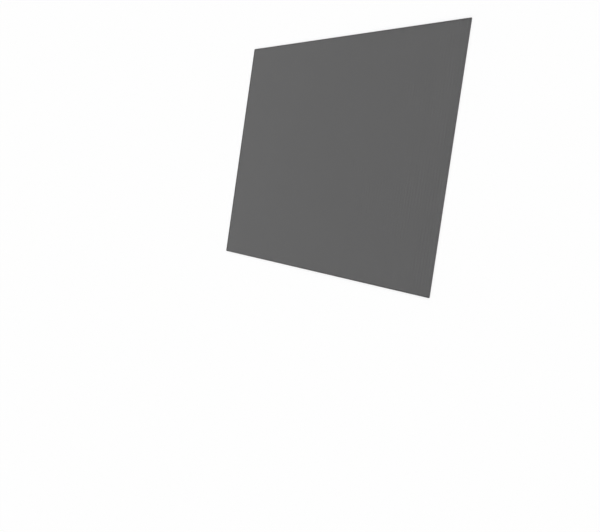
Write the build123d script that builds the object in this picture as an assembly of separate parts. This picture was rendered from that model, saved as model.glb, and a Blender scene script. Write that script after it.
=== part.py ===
from build123d import *
import os

# Privacy filter: one frameless sheet of louvre film, die-cut from laminated stock.
# The black louvres are cast into the film and run along Y, far too fine to cut as solids,
# so the sheet is a single solid with the outline and the rim that the cutting die leaves.
#
# Frame: the origin is the centre of the back face, which the sheet rests on.
# +X runs along the long side, +Y towards the top edge and +Z out of the front face.

# Driving dimensions, in millimetres
sheet_width = 332.0  # along X, the cut for the 15.4 inch class at 16:10
sheet_height = 207.5  # along Y
sheet_thickness = 0.5  # louvre core with a clear skin on each face
corner_radius = 0.8  # inside corners of the cutting die
rim_roll = 0.12  # the blade comes in from the front and rolls that rim over


def make_filter_sheet():
    # The outline is cut square through the stock, and its back rim stays sharp.
    outline = RectangleRounded(sheet_width, sheet_height, corner_radius)
    sheet = extrude(outline, amount=sheet_thickness)
    # The front rim is one tangent loop of four sides and four corners.
    front_face = sheet.faces().sort_by(Axis.Z).last
    return fillet(front_face.edges(), rim_roll)


def main():
    os.makedirs("parts", exist_ok=True)
    export_step(make_filter_sheet(), "parts/filter_sheet.step")


main()
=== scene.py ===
import math
import bpy
from mathutils import Matrix, Vector


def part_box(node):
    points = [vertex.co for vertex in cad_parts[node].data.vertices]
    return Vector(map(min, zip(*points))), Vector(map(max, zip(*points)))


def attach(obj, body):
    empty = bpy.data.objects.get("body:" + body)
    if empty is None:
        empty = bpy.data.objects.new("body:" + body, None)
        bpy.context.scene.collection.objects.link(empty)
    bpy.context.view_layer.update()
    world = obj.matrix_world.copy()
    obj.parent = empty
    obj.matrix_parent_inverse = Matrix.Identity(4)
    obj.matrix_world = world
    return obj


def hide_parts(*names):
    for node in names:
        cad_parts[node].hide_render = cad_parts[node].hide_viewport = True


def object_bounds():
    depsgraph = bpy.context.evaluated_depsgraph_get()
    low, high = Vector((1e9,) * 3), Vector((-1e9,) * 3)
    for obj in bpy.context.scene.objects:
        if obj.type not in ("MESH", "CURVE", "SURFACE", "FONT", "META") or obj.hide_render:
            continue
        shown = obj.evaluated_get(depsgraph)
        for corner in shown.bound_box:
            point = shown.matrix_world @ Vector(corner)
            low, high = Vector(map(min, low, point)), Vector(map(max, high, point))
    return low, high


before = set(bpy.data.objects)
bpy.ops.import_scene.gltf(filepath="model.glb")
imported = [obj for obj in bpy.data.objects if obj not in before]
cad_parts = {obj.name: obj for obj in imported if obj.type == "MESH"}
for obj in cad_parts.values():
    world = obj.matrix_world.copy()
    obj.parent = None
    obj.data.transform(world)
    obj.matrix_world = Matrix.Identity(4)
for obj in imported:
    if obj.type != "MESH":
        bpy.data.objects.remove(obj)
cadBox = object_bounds()
mm = 0.001               # sizes below are in millimetres, Blender works in metres
print("frame loaded:", sorted(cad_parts))


def linear(hexColour):   # sRGB hex to the linear colour that a socket takes
    shares = [int(hexColour[i:i + 2], 16) / 255 for i in (1, 3, 5)]
    return (*(s / 12.92 if s <= 0.04045 else ((s + 0.055) / 1.055) ** 2.4 for s in shares), 1.0)


def addNode(tree, kind, inputs=None, **settings):
    # an input is a value, another node's output or a list of outputs
    # the new node's own outputs come back by name
    node = tree.nodes.new(kind)
    for name, value in settings.items():
        setattr(node, name, value)
    live = [socket for socket in node.inputs if socket.enabled]
    for key, value in (inputs or {}).items():
        socket = live[key] if isinstance(key, int) else next(s for s in live if s.name == key)
        if isinstance(value, (list, bpy.types.NodeSocket)):
            for source in value if isinstance(value, list) else [value]:
                tree.links.new(source, socket)
        else:
            socket.default_value = value
    return {socket.name: socket for socket in node.outputs if socket.enabled}


def newMaterial(name):
    material = bpy.data.materials.new(name)
    material.use_nodes = True
    tree = material.node_tree
    return material, tree, tree.nodes["Principled BSDF"].inputs


# louvre film: black slats cast upright in clear butyrate, a skin on each face, a matt hard coat in front
filmLook = {
    "clearColour": "#1d1d1e",
    "slatColour": "#0b0b0c",
    "slatPitch": 3.6,        # mm, real slats are about 0.1 mm apart and are drawn coarser to show
    "slatShare": 0.2,        # of the pitch
    "slatBlur": 0.06,        # of the pitch
    "clearSolid": 0.437,     # what each face stops, and light crosses two going down and two coming up
    "slatSolid": 0.462,
    "streakWidth": 7.0,      # mm, faint bands along the slats, from the blade that slices the film
    "streakLength": 160.0,   # mm
    "streakSolid": 0.006,
    "bruiseWidth": 1.6,      # mm, the die presses a narrow margin, which stops a little more
    "bruiseSolid": 0.03,
    "gritSize": 0.8,         # mm, the coat's grit is about 0.03 mm and is drawn coarser to show
    "gritHeight": 0.01,      # mm
    "mattRoughness": 0.46,
    "gritRoughness": 0.06,
    "glossRoughness": 0.16,  # the back has no coat
    "sheen": 0.2,            # specular level, an anti-glare coat reflects less than bare plastic at 0.5
    "ior": 1.5,
}


def slatMask(tree, acrossX):   # 1 on a slat and 0 between, a zigzag cut off where it is high enough
    pitch = filmLook["slatPitch"] * mm
    blur = pitch * filmLook["slatBlur"]
    slatStart = pitch / 2 * (1 - filmLook["slatShare"])
    zigzag = addNode(tree, "ShaderNodeMath", {0: acrossX, 1: pitch / 2}, operation="PINGPONG")["Value"]
    return addNode(tree, "ShaderNodeMapRange", {
        "Value": zigzag, "From Min": slatStart - blur, "From Max": slatStart + blur},
        interpolation_type="SMOOTHSTEP")["Result"]


def louvreFilm(size):   # a smoky see-through grey with hair lines and a soft sheen
    look = filmLook
    film, tree, shader = newMaterial("butyrate louvre film, matt hard coat")
    place = addNode(tree, "ShaderNodeTexCoord")["Object"]
    axes = addNode(tree, "ShaderNodeSeparateXYZ", {"Vector": place})
    slat = slatMask(tree, axes["X"])
    colour = addNode(tree, "ShaderNodeMix", {
        "Factor": slat, "A": linear(look["clearColour"]), "B": linear(look["slatColour"])},
        data_type="RGBA")["Result"]

    # what the film stops: more at the slats, with streaks of noise drawn out along them
    stretch = (1 / (look["streakWidth"] * mm), 1 / (look["streakLength"] * mm), 1.0)
    drawnOut = addNode(tree, "ShaderNodeMapping", {"Vector": place, "Scale": stretch})["Vector"]
    streak = addNode(tree, "ShaderNodeTexNoise", {"Vector": drawnOut, "Scale": 1.0})["Fac"]
    slatStops = addNode(tree, "ShaderNodeMapRange", {
        "Value": slat, "To Min": look["clearSolid"], "To Max": look["slatSolid"]})["Result"]
    streakStops = addNode(tree, "ShaderNodeMapRange", {
        "Value": streak, "To Min": -look["streakSolid"], "To Max": look["streakSolid"]})["Result"]
    stops = addNode(tree, "ShaderNodeMath", {0: slatStops, 1: streakStops}, operation="ADD")["Value"]

    # and more again along the cut, by the distance to the nearest side
    fromSides = {}
    for i, (axis, half) in enumerate((("X", size.x / 2), ("Y", size.y / 2))):
        offset = addNode(tree, "ShaderNodeMath", {0: axes[axis]}, operation="ABSOLUTE")["Value"]
        fromSides[i] = addNode(tree, "ShaderNodeMath", {0: half, 1: offset}, operation="SUBTRACT")["Value"]
    margin = addNode(tree, "ShaderNodeMath", fromSides, operation="MINIMUM")["Value"]
    bruiseStops = addNode(tree, "ShaderNodeMapRange", {
        "Value": margin, "From Max": look["bruiseWidth"] * mm,
        "To Min": look["bruiseSolid"], "To Max": 0.0}, interpolation_type="SMOOTHSTEP")["Result"]
    solid = addNode(tree, "ShaderNodeMath", {0: stops, 1: bruiseStops}, operation="ADD")["Value"]

    # grit: roughens the front, while the back stays glossy
    grit = addNode(tree, "ShaderNodeTexNoise", {
        "Vector": place, "Scale": 1 / (look["gritSize"] * mm)})["Fac"]
    matt = addNode(tree, "ShaderNodeMapRange", {
        "Value": grit, "To Min": look["mattRoughness"] - look["gritRoughness"],
        "To Max": look["mattRoughness"] + look["gritRoughness"]})["Result"]
    isFront = addNode(tree, "ShaderNodeMath", {0: axes["Z"], 1: size.z / 2},
                      operation="GREATER_THAN")["Value"]
    roughness = addNode(tree, "ShaderNodeMix", {
        "Factor": isFront, "A": look["glossRoughness"], "B": matt}, data_type="FLOAT")["Result"]
    bumps = addNode(tree, "ShaderNodeBump", {
        "Strength": 1.0, "Distance": look["gritHeight"] * mm, "Height": grit})["Normal"]

    tree.links.new(colour, shader["Base Color"])
    tree.links.new(solid, shader["Alpha"])
    tree.links.new(roughness, shader["Roughness"])
    tree.links.new(bumps, shader["Normal"])
    shader["IOR"].default_value = look["ior"]
    shader["Specular IOR Level"].default_value = look["sheen"]
    return film


# cut edge of the same film: the slats' black ends in a smoky core, between two skins
edgeLook = {
    "coreColour": "#38383a",
    "slatEndColour": "#0d0d0e",
    # partly a painted highlight: the clear skins' light catch at the cut is painted into this paler grey
    "skinColourWithGlint": "#5c5c5e",
    "skinThickness": 0.07,   # mm
    "roughness": 0.55,       # the blade leaves it dull
    "scuffSize": 0.8,        # mm
    "scuffRoughness": 0.12,
}


def cutEdge(thickness):   # a dull dark line between two paler ones
    look = edgeLook
    edge, tree, shader = newMaterial("butyrate louvre film, die-cut edge")
    place = addNode(tree, "ShaderNodeTexCoord")["Object"]
    axes = addNode(tree, "ShaderNodeSeparateXYZ", {"Vector": place})
    slatEnd = slatMask(tree, axes["X"])
    core = addNode(tree, "ShaderNodeMix", {
        "Factor": slatEnd, "A": linear(look["coreColour"]), "B": linear(look["slatEndColour"])},
        data_type="RGBA")["Result"]

    # skins by height, from as far off the middle as the core goes; their paler grey is partly the clear
    # skins' own tone and partly a painted highlight for the light they catch at the cut
    coreHalf = thickness / 2 - look["skinThickness"] * mm
    fromMiddle = addNode(tree, "ShaderNodeMath", {0: axes["Z"], 1: thickness / 2},
                         operation="SUBTRACT")["Value"]
    depth = addNode(tree, "ShaderNodeMath", {0: fromMiddle}, operation="ABSOLUTE")["Value"]
    isSkinWithGlint = addNode(tree, "ShaderNodeMath", {0: depth, 1: coreHalf}, operation="GREATER_THAN")["Value"]
    colour = addNode(tree, "ShaderNodeMix", {
        "Factor": isSkinWithGlint, "A": core, "B": linear(look["skinColourWithGlint"])}, data_type="RGBA")["Result"]

    scuff = addNode(tree, "ShaderNodeTexNoise", {
        "Vector": place, "Scale": 1 / (look["scuffSize"] * mm)})["Fac"]
    roughness = addNode(tree, "ShaderNodeMapRange", {
        "Value": scuff, "To Min": look["roughness"] - look["scuffRoughness"],
        "To Max": look["roughness"] + look["scuffRoughness"]})["Result"]
    tree.links.new(colour, shader["Base Color"])
    tree.links.new(roughness, shader["Roughness"])
    return edge


# the sheet: the section of its rim swept round its outline, then closed by a front and a back face
sheetShape = {
    "cornerRadius": 0.8,     # mm
    "rimRoll": 0.12,         # mm, front rim only
    "cornerSteps": 8,
    "rollSteps": 5,
    "weld": 0.002,           # mm, closes the faces onto the rim
}


def sheetTree():
    tree = bpy.data.node_groups.new("die-cut sheet", "GeometryNodeTree")
    asked = {}
    for kind, names in {
            "NodeSocketFloat": ("Width", "Height", "Thickness", "Corner Radius", "Rim Roll", "Weld"),
            "NodeSocketInt": ("Corner Steps", "Roll Steps"),
            "NodeSocketMaterial": ("Film", "Edge")}.items():
        for name in names:
            asked[name] = tree.interface.new_socket(name, in_out="INPUT", socket_type=kind).identifier
    tree.interface.new_socket("Sheet", in_out="OUTPUT", socket_type="NodeSocketGeometry")
    given = addNode(tree, "NodeGroupInput")

    box = addNode(tree, "GeometryNodeCurvePrimitiveQuadrilateral", {
        "Width": given["Width"], "Height": given["Height"]})["Curve"]
    outline = addNode(tree, "GeometryNodeFilletCurve", {
        "Curve": box, "Count": given["Corner Steps"], "Radius": given["Corner Radius"]},
        mode="POLY")["Curve"]
    upright = addNode(tree, "GeometryNodeSetCurveNormal", {"Curve": outline}, mode="Z_UP")["Curve"]

    # rim section: a straight wall, then a quarter turn onto the front face (a sweep takes -Y as up)
    wallTop = addNode(tree, "ShaderNodeMath", {0: given["Rim Roll"], 1: given["Thickness"]},
                      operation="SUBTRACT")["Value"]
    inwards = addNode(tree, "ShaderNodeMath", {0: given["Rim Roll"], 1: -1.0},
                      operation="MULTIPLY")["Value"]
    wallEnd = addNode(tree, "ShaderNodeCombineXYZ", {"Y": wallTop})["Vector"]
    rollMiddle = addNode(tree, "ShaderNodeCombineXYZ", {"X": inwards, "Y": wallTop})["Vector"]
    wall = addNode(tree, "GeometryNodeCurvePrimitiveLine", {"Start": (0, 0, 0), "End": wallEnd})["Curve"]
    turn = addNode(tree, "GeometryNodeCurveArc", {
        "Resolution": given["Roll Steps"], "Radius": given["Rim Roll"],
        "Start Angle": 0.0, "Sweep Angle": -math.pi / 2})["Curve"]
    roll = addNode(tree, "GeometryNodeTransform", {"Geometry": turn, "Translation": rollMiddle})["Geometry"]
    section = addNode(tree, "GeometryNodeJoinGeometry", {"Geometry": [wall, roll]})["Geometry"]
    swept = addNode(tree, "GeometryNodeCurveToMesh", {"Curve": upright, "Profile Curve": section})["Mesh"]
    outwards = addNode(tree, "GeometryNodeFlipFaces", {"Mesh": swept})["Mesh"]
    rim = addNode(tree, "GeometryNodeSetShadeSmooth", {
        "Geometry": outwards, "Shade Smooth": True})["Geometry"]
    marked = addNode(tree, "GeometryNodeStoreNamedAttribute", {
        "Geometry": rim, "Name": "cutEdge", "Value": 1.0}, data_type="FLOAT", domain="FACE")["Geometry"]

    # the back fills the outline, the front fills the loop where the roll ends
    back = addNode(tree, "GeometryNodeFillCurve", {"Curve": outline}, mode="NGONS")["Mesh"]
    backOut = addNode(tree, "GeometryNodeFlipFaces", {"Mesh": back})["Mesh"]
    position = addNode(tree, "GeometryNodeInputPosition")["Position"]
    height = addNode(tree, "ShaderNodeSeparateXYZ", {"Vector": position})["Z"]
    nearTop = addNode(tree, "ShaderNodeMath", {0: given["Thickness"], 1: given["Weld"]},
                      operation="SUBTRACT")["Value"]
    atTop = addNode(tree, "FunctionNodeCompare", {"A": height, "B": nearTop},
                    data_type="FLOAT", operation="GREATER_THAN")["Result"]
    topLoop = addNode(tree, "GeometryNodeMeshToCurve", {"Mesh": rim, "Selection": atTop})["Curve"]
    lid = addNode(tree, "GeometryNodeFillCurve", {"Curve": topLoop}, mode="NGONS")["Mesh"]
    lift = addNode(tree, "ShaderNodeCombineXYZ", {"Z": given["Thickness"]})["Vector"]
    front = addNode(tree, "GeometryNodeTransform", {"Geometry": lid, "Translation": lift})["Geometry"]

    joined = addNode(tree, "GeometryNodeJoinGeometry", {"Geometry": [marked, front, backOut]})["Geometry"]
    closed = addNode(tree, "GeometryNodeMergeByDistance", {
        "Geometry": joined, "Distance": given["Weld"]})["Geometry"]
    real = addNode(tree, "GeometryNodeRealizeInstances", {"Geometry": closed})["Geometry"]
    coated = addNode(tree, "GeometryNodeSetMaterial", {
        "Geometry": real, "Material": given["Film"]})["Geometry"]
    isEdge = addNode(tree, "GeometryNodeInputNamedAttribute", {"Name": "cutEdge"},
                     data_type="FLOAT")["Attribute"]
    edged = addNode(tree, "GeometryNodeSetMaterial", {
        "Geometry": coated, "Selection": isEdge, "Material": given["Edge"]})["Geometry"]
    addNode(tree, "NodeGroupOutput", {"Sheet": edged})
    return tree, asked


def filterSheet():
    low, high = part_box("filter_sheet")
    size = high - low
    tree, asked = sheetTree()
    sheet = bpy.data.objects.new("louvre_film", bpy.data.meshes.new("louvre_film"))
    bpy.context.scene.collection.objects.link(sheet)
    nodes = sheet.modifiers.new("die-cut sheet", "NODES")
    nodes.node_group = tree
    for name, value in {
            "Width": size.x, "Height": size.y, "Thickness": size.z,
            "Corner Radius": sheetShape["cornerRadius"] * mm, "Corner Steps": sheetShape["cornerSteps"],
            "Rim Roll": sheetShape["rimRoll"] * mm, "Roll Steps": sheetShape["rollSteps"],
            "Weld": sheetShape["weld"] * mm, "Film": louvreFilm(size), "Edge": cutEdge(size.z)}.items():
        nodes[asked[name]] = value
    made = sheet.evaluated_get(bpy.context.evaluated_depsgraph_get())
    sheet.data = bpy.data.meshes.new_from_object(made)
    sheet.data.materials.pop(index=0)   # the tree leaves an empty first slot
    sheet.modifiers.clear()
    return sheet


film = filterSheet()
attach(film, "root")
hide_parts("filter_sheet")
print("sheet made:", len(film.data.polygons), "faces")


# studio: a white floor under an even sky and a wide lamp
studio = {
    "floorColour": "#fefefe",
    "floorRoughness": 1.0,
    "floorSheen": 0.0,       # specular level
    "floorWidth": 30000.0,   # mm
    "floorGap": 0.05,        # mm under the sheet, so that the two faces don't fight
    "skyColour": "#ffffff",
    "skyLight": 0.72,        # sky and lamp add up to 1, at which a colour renders as it is written
    "lampLight": 0.28,
    "lampTurn": (22, 14),    # degrees off straight down, about X and Y
    "lampSpread": 60,        # degrees across
}


def studioFloor():
    half = studio["floorWidth"] * mm / 2
    height = cadBox[0].z - studio["floorGap"] * mm
    corners = [(x * half, y * half, height) for x, y in ((-1, -1), (1, -1), (1, 1), (-1, 1))]
    mesh = bpy.data.meshes.new("floor")
    mesh.from_pydata(corners, [], [range(4)])
    floor = bpy.data.objects.new("floor", mesh)
    bpy.context.scene.collection.objects.link(floor)
    paint, _, shader = newMaterial("matt white paint")   # an even white with no gloss
    shader["Base Color"].default_value = linear(studio["floorColour"])
    shader["Roughness"].default_value = studio["floorRoughness"]
    shader["Specular IOR Level"].default_value = studio["floorSheen"]
    mesh.materials.append(paint)


def studioLight():
    world = bpy.data.worlds.new("white studio")
    world.use_nodes = True
    bpy.context.scene.world = world
    tree = world.node_tree
    tree.nodes.clear()
    # what is seen, mirrored or seen through is plain white, and what lights the sheet is the softer sky
    rays = addNode(tree, "ShaderNodeLightPath")
    isSeen = addNode(tree, "ShaderNodeMath", {0: rays["Is Camera Ray"], 1: rays["Is Glossy Ray"]},
                     operation="MAXIMUM")["Value"]
    isWhite = addNode(tree, "ShaderNodeMath", {0: isSeen, 1: rays["Is Transmission Ray"]},
                      operation="MAXIMUM")["Value"]
    colour = linear(studio["skyColour"])
    sky = addNode(tree, "ShaderNodeBackground", {
        "Color": colour, "Strength": studio["skyLight"]})["Background"]
    white = addNode(tree, "ShaderNodeBackground", {"Color": colour, "Strength": 1.0})["Background"]
    mixed = addNode(tree, "ShaderNodeMixShader", {0: isWhite, 1: sky, 2: white})["Shader"]
    addNode(tree, "ShaderNodeOutputWorld", {"Surface": mixed})

    turnX, turnY = [math.radians(a) for a in studio["lampTurn"]]
    light = bpy.data.lights.new("wide lamp", "SUN")
    light.angle = math.radians(studio["lampSpread"])
    light.energy = studio["lampLight"] * math.pi / (math.cos(turnX) * math.cos(turnY))
    lamp = bpy.data.objects.new("wide lamp", light)
    lamp.rotation_euler = (turnX, turnY, 0)
    bpy.context.scene.collection.objects.link(lamp)


studioFloor()
studioLight()
print("studio lit")


# camera: stands where the sheet's corners fall on these pixels, counted from the picture's top left
picture = {
    "size": (600, 532),
    "topLeft": (254.71, 49.23),
    "topRight": (471.99, 17.37),
    "bottomRight": (429.22, 298.27),
    "bottomLeft": (226.30, 250.77),
    "lens": 58.33,           # mm, the one that makes the corners a 16:10 rectangle
    "sensor": 36.0,          # mm
}


def standCamera():
    across, down = picture["size"]
    focal = picture["lens"] / picture["sensor"] * across   # in pixels
    rays = [Vector((picture[c][0] - across / 2, down / 2 - picture[c][1], -focal))
            for c in ("topLeft", "topRight", "bottomRight", "bottomLeft")]
    # each corner lies somewhere along its ray, and the two diagonals share their middle
    reach = Matrix((rays[1], -rays[2], rays[3])).transposed().inverted() @ rays[0]
    topLeft, topRight, bottomRight, bottomLeft = [ray * k for ray, k in zip(rays, (1, *reach))]
    right = (topRight - topLeft + bottomRight - bottomLeft) / 2
    up = (topLeft - bottomLeft + topRight - bottomRight) / 2
    low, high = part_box("filter_sheet")
    scale = (high.x - low.x) / right.length
    middle = (topLeft + topRight + bottomRight + bottomLeft) / 4 * scale
    sheetX = right.normalized()
    sheetZ = right.cross(up).normalized()
    turn = Matrix((sheetX, sheetZ.cross(sheetX), sheetZ)).transposed()
    halfway = Matrix.Translation((0, 0, -(low.z + high.z) / 2))   # the corners are taken at mid thickness
    sheetFromCamera = Matrix.Translation(middle) @ turn.to_4x4() @ halfway

    lens = bpy.data.cameras.new("camera")
    lens.lens = picture["lens"]
    lens.sensor_width = picture["sensor"]
    camera = bpy.data.objects.new("camera", lens)
    camera.matrix_world = sheetFromCamera.inverted()
    bpy.context.scene.collection.objects.link(camera)
    bpy.context.scene.camera = camera
    print("camera stands at", [round(x, 3) for x in camera.matrix_world.translation])


standCamera()
bpy.context.scene.view_settings.view_transform = "Standard"
